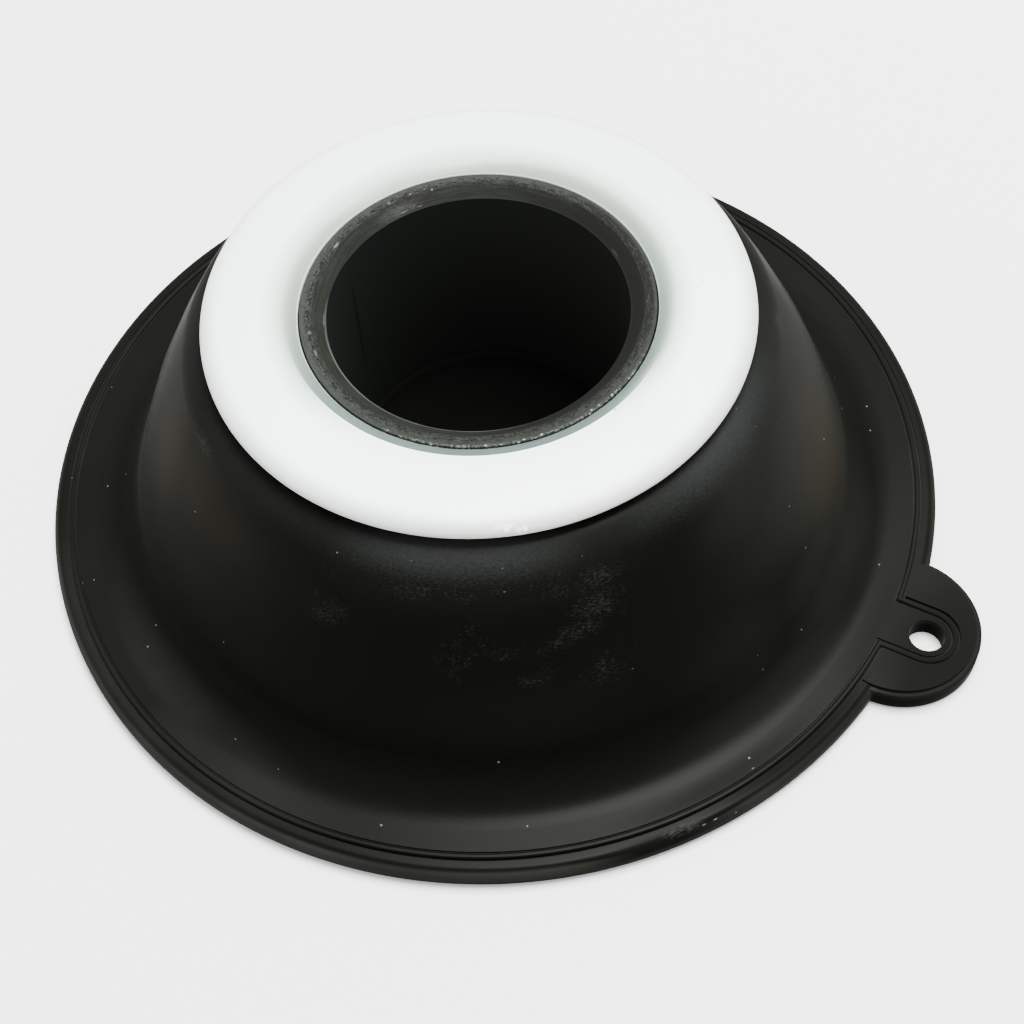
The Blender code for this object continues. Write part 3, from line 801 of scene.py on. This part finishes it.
nylonLook = {
    "near": (0.825, 0.94, 0.865), "far": (0.67, 0.79, 0.70), "shade": (0.665, 0.775, 0.69),
    "lip": (0.262, 0.335, 0.28), "farToe": (0.188, 0.235, 0.188), "nearToe": (0.058, 0.083, 0.075),
    "litInnerEdge": (0.36, 0.38, 0.36), "edge": (0.36, 0.37, 0.355), "grubby": (0.34, 0.27, 0.21),
    "speck": (0.10, 0.095, 0.085), "scuff": (0.93, 0.93, 0.90), "roughness": 0.34, "scuffRoughness": 0.55,
    "glow": 0.8, "glowReach": 0.0006, "glowColour": (0.85, 1.0, 0.95),
}
nylonMasks = {
    "patches": (7.0, 0.3, 0.8), "rubbed": (0.5, 0.4, 0.6), "shadeShare": 0.25, "farSide": (100.0, -0.75, 0.5),
    "notNear": (90.0, -0.92, -0.4), "droop": (17.6, 15.5), "lipShares": (0.22, 0.95),
    "lipTop": (15.78, 15.68),
    "toeSide": (95.0, -1.0, 0.85), "sharpCone": (15.62, 15.54), "softCone": (16.3, 14.9),
    "softSide": (80.0, -0.75, -0.2), "innermost": (14.74, 14.66), "nearSide": (270.0, -0.7, 0.3),
    "edgeShares": (0.25, 0.8), "edge": (20.6, 22.5), "low": (23.75, 23.1), "outside": (20.5, 21.5),
    "specks": (3.2, 0.06, 0.3),
}
nylonSpecks = [
    (308.5, 15.75, 24.3, 0.26, 0.2, 0.9), (180.5, 15.4, 24.1, 0.14, 0.12, 0.7),
    (15.5, 15.5, 24.2, 0.28, 0.1, 0.6), (340.0, 18.4, 24.6, 0.12, 0.1, 0.8),
    (357.0, 17.7, 24.6, 0.12, 0.12, 0.7), (227.0, 20.9, 24.5, 0.1, 0.1, 0.6),
]
nylonScuffs = [
    (272.0, 22.2, 24.2, 1.6, 0.5, 0.9), (275.0, 22.35, 23.9, 0.8, 0.5, 1.0),
    (258.0, 20.2, 24.6, 3.2, 0.12, 0.5),
]


def makeNylon(look, masks):
    material, tree, shader = newMaterial("whiteNylon")
    where = useGroup(tree, turnedPlace)
    radius = where["Radius"]
    patches = cloudOn(tree, where, *masks["patches"])
    # painted light: the near half of the ring is lighter than the far half
    farSide = sideMask(tree, where, *masks["farSide"])
    colour = colourMix(tree, farSide, look["near"], look["far"])
    colour = colourMix(tree, times(tree, patches, masks["shadeShare"]), colour, look["shade"])
    # painted shade: the drooping lip is painted grey but little on its near side, and the cone below it all
    # round, near black on the near side
    notNear = sideMask(tree, where, *masks["notNear"])
    droop = rangeNode(tree, radius, *masks["droop"], smooth=False)
    onLip = times(tree, droop, blend(tree, notNear, *masks["lipShares"]))
    colour = colourMix(tree, onLip, colour, look["lip"])
    # painted highlight: a light line on the lip's top edge on the near side
    nearLip = times(tree, rangeNode(tree, radius, *masks["lipTop"]), mathNode(tree, "SUBTRACT", 1.0, notNear))
    colour = colourMix(tree, nearLip, colour, look["near"])
    toe = colourMix(tree, sideMask(tree, where, *masks["toeSide"]), look["nearToe"], look["farToe"])
    sharp = rangeNode(tree, radius, *masks["sharpCone"])
    soft = rangeNode(tree, radius, *masks["softCone"])
    softSide = sideMask(tree, where, *masks["softSide"])
    below = mathNode(tree, "MULTIPLY_ADD", mathNode(tree, "SUBTRACT", soft, sharp), softSide, sharp)
    colour = colourMix(tree, below, colour, toe)
    # painted highlight: a thin light line on the inner edge on the far side
    innermost = times(tree, rangeNode(tree, radius, *masks["innermost"]), farSide)
    colour = colourMix(tree, innermost, colour, look["litInnerEdge"])
    # painted shade: the outer edge is greyer near the photographer. It is also stained low down
    nearer = rangeNode(tree, sideMask(tree, where, *masks["nearSide"]), 0.0, 1.0, *masks["edgeShares"])
    atEdge = times(tree, rangeNode(tree, radius, *masks["edge"]), nearer)
    colour = colourMix(tree, atEdge, colour, look["edge"])
    grubby = times(tree, rangeNode(tree, where["Height"], *masks["low"]),
                   rangeNode(tree, radius, *masks["outside"]))
    colour = colourMix(tree, grubby, colour, look["grubby"])
    scuffs = times(tree, addMarks(tree, where, nylonScuffs), cloudOn(tree, where, *masks["rubbed"]))
    colour = colourMix(tree, scuffs, colour, look["scuff"])
    spots = larger(tree, specksOn(tree, where, *masks["specks"]), addMarks(tree, where, nylonSpecks))
    feed(tree, shader.inputs["Base Color"], colourMix(tree, spots, colour, look["speck"]))
    rough = blend(tree, larger(tree, patches, scuffs), look["roughness"], look["scuffRoughness"])
    feed(tree, shader.inputs["Roughness"], rough)
    shader.inputs["Subsurface Weight"].default_value = look["glow"]
    shader.inputs["Subsurface Scale"].default_value = look["glowReach"]
    shader.inputs["Subsurface Radius"].default_value = look["glowColour"]
    arrange(tree)
    return material


# Dark cup: worn rough grey on the mouth, smooth brown-grey chamfer, nearly black down the bore, with painted
# light in the bore and painted highlights on the mouth's edges

cupLook = {
    "bore": (0.0112, 0.0132, 0.0115), "deep": (0.0112, 0.0130, 0.0110), "farBore": (0.0140, 0.0156, 0.0132),
    "floor": (0.0010, 0.0012, 0.0009), "floorEdge": (0.0016, 0.0019, 0.0015),
    "seam": (0.0030, 0.0036, 0.0030),
    "pit": (0.0050, 0.0052, 0.0047), "worn": (0.0202, 0.0224, 0.0194), "outerGrey": (0.0213, 0.0237, 0.0208),
    "chamfer": (0.0117, 0.0126, 0.0107), "chamferDark": (0.0065, 0.0070, 0.0057),
    "farChamfer": (0.0052, 0.0055, 0.0045), "bright": (0.085, 0.087, 0.081), "glint": (0.30, 0.31, 0.29),
    "roughness": 0.55, "floorRoughness": 1.0, "specular": 0.020, "bump": 0.35, "bumpDistance": 0.00005,
}
cupMasks = {
    "down": (12.0, 23.0), "farBore": (15.0, -0.4, 1.0), "sunk": (2.1, 3.5), "floorEdge": (6.0, 11.5),
    "chamfer": (22.85, 23.3), "grit": (430.0, 0.085), "coarse": (120.0, 0.22), "rings": (30.0, 0.13),
    "turned": (0.36, 0.64), "mottled": (0.7, -0.6), "mottledGrit": 1.4, "darkChamfer": (345.0, -0.3, 0.7),
    "darkShare": 0.86, "gritShare": 0.65, "coarseShare": 0.45, "pittedSide": (12.0, 0.7, 1.0),
    "pittedEdge": (14.32, 14.12), "pittedShift": -0.07, "worn": (0.47, 0.64), "outerTorn": 1.2,
    "outer": (14.25, 14.85), "outerShares": (-0.6, 0.7), "grimySide": (322.0, -0.7, 0.5), "grime": 0.3,
    "pittedGrime": 0.16, "landTorn": 0.34, "land": (13.25, 14.0), "glints": (0.34, 0.085, 0.7),
    "lines": (0.46, 0.62), "lineShare": 0.16, "outerEdge": (14.22, 14.34), "outerNear": (284.0, 0.55, 0.9),
    "boreEdge": (12.56, 12.42), "boreEdgeTop": (22.98, 23.1), "boreNear": (228.0, 0.45, 0.8),
    "edgeTurned": (0.3, 0.2), "brokenFlecks": (0.7, 0.3),
}
# azimuth, radius, height, half width, half length, strength
boreSeam = [(148.0, 12.36, 15.0, 0.28, 9.0, 0.65)]
mouthFlecks = [
    (146.0, 13.6, 23.93, 0.55, 0.16, 1.0), (119.5, 13.7, 23.93, 0.16, 0.26, 0.9),
    (111.0, 13.65, 23.93, 0.12, 0.16, 0.8), (103.0, 13.45, 23.93, 0.14, 0.2, 0.9),
    (105.5, 13.7, 23.93, 0.12, 0.1, 0.7), (112.0, 12.75, 23.42, 0.5, 0.1, 0.7),
    (116.0, 12.62, 23.33, 0.6, 0.08, 0.7), (109.5, 12.58, 23.3, 0.4, 0.07, 0.6),
    (196.0, 13.7, 23.93, 0.5, 0.14, 0.7), (179.0, 12.55, 23.2, 1.3, 0.14, 0.9),
    (187.0, 13.7, 23.93, 0.3, 0.2, 0.5), (118.0, 12.85, 23.5, 2.9, 0.75, 0.2),
    (304.0, 14.25, 23.93, 0.16, 0.12, 0.9), (237.5, 14.35, 23.93, 0.1, 0.2, 0.9),
    (22.0, 12.6, 23.25, 0.9, 0.12, 0.5),
]


def makeCup(look, masks):
    material, tree, shader = newMaterial("darkCup")
    where = useGroup(tree, turnedPlace)
    radius = where["Radius"]
    height = where["Height"]
    wall = colourMix(tree, rangeNode(tree, height, *masks["down"]), look["deep"], look["bore"])
    # painted light: the bore's wall is lighter towards the right
    wall = colourMix(tree, sideMask(tree, where, *masks["farBore"]), wall, look["farBore"])
    wall = colourMix(tree, addMarks(tree, where, boreSeam), wall, look["seam"])
    sunk = rangeNode(tree, height, *masks["sunk"])
    # painted light: the floor is lighter towards its edge, where the shadow falls
    bottom = colourMix(tree, rangeNode(tree, radius, *masks["floorEdge"]), look["floor"], look["floorEdge"])
    wall = colourMix(tree, sunk, bottom, wall)
    # height counts downwards here, so that the lines run on from the mouth down the chamfer
    turnedHeight = times(tree, height, -1.0)
    grit = streaksOn(tree, where, turnedHeight, *masks["grit"])
    coarse = streaksOn(tree, where, turnedHeight, *masks["coarse"])
    turned = rangeNode(tree, streaksOn(tree, where, turnedHeight, *masks["rings"]), *masks["turned"])
    onChamfer = rangeNode(tree, height, *masks["chamfer"])
    mottled = mathNode(tree, "MULTIPLY_ADD", grit, masks["mottledGrit"],
                       mathNode(tree, "MULTIPLY_ADD", turned, *masks["mottled"]))
    chamfer = colourMix(tree, mottled, look["chamferDark"], look["chamfer"])
    darkSide = times(tree, sideMask(tree, where, *masks["darkChamfer"]), masks["darkShare"])
    chamfer = colourMix(tree, darkSide, chamfer, look["farChamfer"])
    withChamfer = colourMix(tree, onChamfer, wall, chamfer)
    # grit thins out towards the outer edge and the chamfer, and is darkest on the right
    finer = times(tree, grit, masks["gritShare"])
    mixed = mathNode(tree, "MULTIPLY_ADD", coarse, masks["coarseShare"], finer)
    pitted = times(tree, sideMask(tree, where, *masks["pittedSide"]),
                   rangeNode(tree, radius, *masks["pittedEdge"]))
    shifted = mathNode(tree, "MULTIPLY_ADD", pitted, masks["pittedShift"], mixed)
    worn = rangeNode(tree, shifted, *masks["worn"])
    land = colourMix(tree, worn, look["pit"], look["worn"])
    tornRadius = mathNode(tree, "MULTIPLY_ADD", mixed, masks["outerTorn"], radius)
    greyShare = mathNode(tree, "MULTIPLY_ADD", pitted, *masks["outerShares"])
    outerPart = times(tree, rangeNode(tree, tornRadius, *masks["outer"]), greyShare)
    land = colourMix(tree, outerPart, land, look["outerGrey"])
    grimy = mathNode(tree, "MULTIPLY_ADD", sideMask(tree, where, *masks["grimySide"]), masks["grime"],
                     times(tree, pitted, masks["pittedGrime"]))
    land = colourMix(tree, grimy, land, look["pit"])
    landRadius = mathNode(tree, "MULTIPLY_ADD", turned, masks["landTorn"], radius)
    topOnly = times(tree, rangeNode(tree, landRadius, *masks["land"]), onChamfer)
    mouth = colourMix(tree, topOnly, withChamfer, land)
    # painted highlights: the outer edge glints near the photographer and the bore's edge is lit on the near
    # left; the bright flecks are wear
    line = times(tree, rangeNode(tree, grit, *masks["lines"]), masks["lineShare"])
    dots = larger(tree, specksOn(tree, where, *masks["glints"]), line)
    outerEdge = times(tree, rangeNode(tree, radius, *masks["outerEdge"]), onChamfer)
    outerNear = times(tree, outerEdge, sideMask(tree, where, *masks["outerNear"]))
    boreEdge = times(tree, rangeNode(tree, radius, *masks["boreEdge"]),
                     rangeNode(tree, height, *masks["boreEdgeTop"]))
    boreNear = times(tree, boreEdge, sideMask(tree, where, *masks["boreNear"]))
    edges = times(tree, boreNear, mathNode(tree, "MULTIPLY_ADD", turned, *masks["edgeTurned"]))
    broken = times(tree, addMarks(tree, where, mouthFlecks),
                   mathNode(tree, "MULTIPLY_ADD", worn, *masks["brokenFlecks"]))
    colour = colourMix(tree, larger(tree, edges, broken), mouth, look["bright"])
    colour = colourMix(tree, times(tree, outerNear, dots), colour, look["glint"])
    feed(tree, shader.inputs["Base Color"], colour)
    feed(tree, shader.inputs["Roughness"], blend(tree, sunk, look["floorRoughness"], look["roughness"]))
    shader.inputs["Specular IOR Level"].default_value = look["specular"]
    addBump(tree, shader, times(tree, worn, topOnly), look["bump"], look["bumpDistance"])
    arrange(tree)
    return material


diaphragm.data.materials.clear()
diaphragm.data.materials.append(makeRubber(rubberLook, rubberMasks))
retainingRing.data.materials.append(makeNylon(nylonLook, nylonMasks))
cup.data.materials.append(makeCup(cupLook, cupMasks))
print("finishes made")

for piece, node, slotName in ((diaphragm, "diaphragm", "black_rubber"),
                              (retainingRing, "retaining_ring", "white_nylon"),
                              (cup, "piston_cup", "dark_cup")):
    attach(piece, "root")
    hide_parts(node)


# Floor, lights and camera

studioValues = {
    "floorSize": 3.0, "floorDrop": 0.00005, "floorColour": (0.70, 0.70, 0.70), "floorRoughness": 0.8,
    "skyColour": (1.0, 1.0, 1.0), "skyAbove": 2.3, "skyBelow": 0.8, "skyEdges": (-0.1, 0.9),
    "keyFrom": (0.16, 0.17, 0.97), "keyAim": 0.012, "keyDistance": 0.62, "keyWidth": 0.30, "keyLength": 0.34,
    "keyPower": 20.8,
}
cameraValues = {
    "place": (0.0, -91.234, 127.674), "yaw": 0.016848, "pitch": -0.973229, "roll": -0.073116,
    "focalPixels": 1700.0, "imagePixels": 1024.0, "sensorWidth": 36.0, "clipStart": 0.005,
}
turnToRow = Matrix.Rotation(earTurn, 4, "Z")


def makeFloor(values):
    half = values["floorSize"] / 2
    low = -values["floorDrop"]
    corners = [(-half, -half, low), (half, -half, low), (half, half, low), (-half, half, low)]
    mesh = bpy.data.meshes.new("floor")
    mesh.from_pydata(corners, [], [(0, 1, 2, 3)])
    floor = bpy.data.objects.new("floor", mesh)
    bpy.context.scene.collection.objects.link(floor)
    material, tree, shader = newMaterial("paleFloor")
    feed(tree, shader.inputs["Base Color"], values["floorColour"])
    shader.inputs["Roughness"].default_value = values["floorRoughness"]
    arrange(tree)
    mesh.materials.append(material)
    floor.visible_glossy = False   # the rubber's glancing sheen mirrors the dim room, not the lit floor


def makeKeyLight(values):
    # A rectangle, its width level and its length running away from the camera
    data = bpy.data.lights.new("keyLight", "AREA")
    data.shape = "RECTANGLE"
    data.size = values["keyWidth"]
    data.size_y = values["keyLength"]
    data.energy = values["keyPower"]
    light = bpy.data.objects.new("keyLight", data)
    bpy.context.scene.collection.objects.link(light)
    back = Vector(values["keyFrom"]).normalized()
    side = Vector((0.0, 1.0, 0.0)).cross(back).normalized()
    matrix = Matrix((side, back.cross(side), back)).transposed().to_4x4()
    matrix.translation = back * values["keyDistance"] + Vector((0.0, 0.0, values["keyAim"]))
    light.matrix_world = turnToRow @ matrix


def makeSky(values):
    # A plain soft room: bright overhead, dim at the level of the table and below
    sky = bpy.data.worlds.new("softRoom")
    sky.use_nodes = True
    tree = sky.node_tree
    shader = tree.nodes["Background"]
    direction = addNode(tree, "ShaderNodeTexCoord").outputs["Generated"]
    upward = addNode(tree, "ShaderNodeSeparateXYZ", {0: direction}).outputs["Z"]
    amount = rangeNode(tree, upward, *values["skyEdges"], values["skyBelow"], values["skyAbove"])
    feed(tree, shader.inputs["Color"], values["skyColour"])
    feed(tree, shader.inputs["Strength"], amount)
    arrange(tree)
    bpy.context.scene.world = sky


def makeCamera(values):
    yaw, pitch, roll = values["yaw"], values["pitch"], values["roll"]
    forward = Vector((math.sin(yaw) * math.cos(pitch), math.cos(yaw) * math.cos(pitch), math.sin(pitch)))
    right = Vector((math.cos(yaw), -math.sin(yaw), 0.0))
    up = right.cross(forward)
    tiltedRight = right * math.cos(roll) + up * math.sin(roll)
    tiltedUp = up * math.cos(roll) - right * math.sin(roll)
    matrix = Matrix((tiltedRight, tiltedUp, -forward)).transposed().to_4x4()
    matrix.translation = Vector(values["place"]) * mm
    data = bpy.data.cameras.new("camera")
    data.sensor_width = values["sensorWidth"]
    data.sensor_fit = "HORIZONTAL"
    data.lens = values["focalPixels"] / values["imagePixels"] * values["sensorWidth"]
    data.clip_start = values["clipStart"]
    camera = bpy.data.objects.new("camera", data)
    bpy.context.scene.collection.objects.link(camera)
    camera.matrix_world = turnToRow @ matrix
    bpy.context.scene.camera = camera


makeFloor(studioValues)
makeKeyLight(studioValues)
makeSky(studioValues)
makeCamera(cameraValues)
print("studio made")
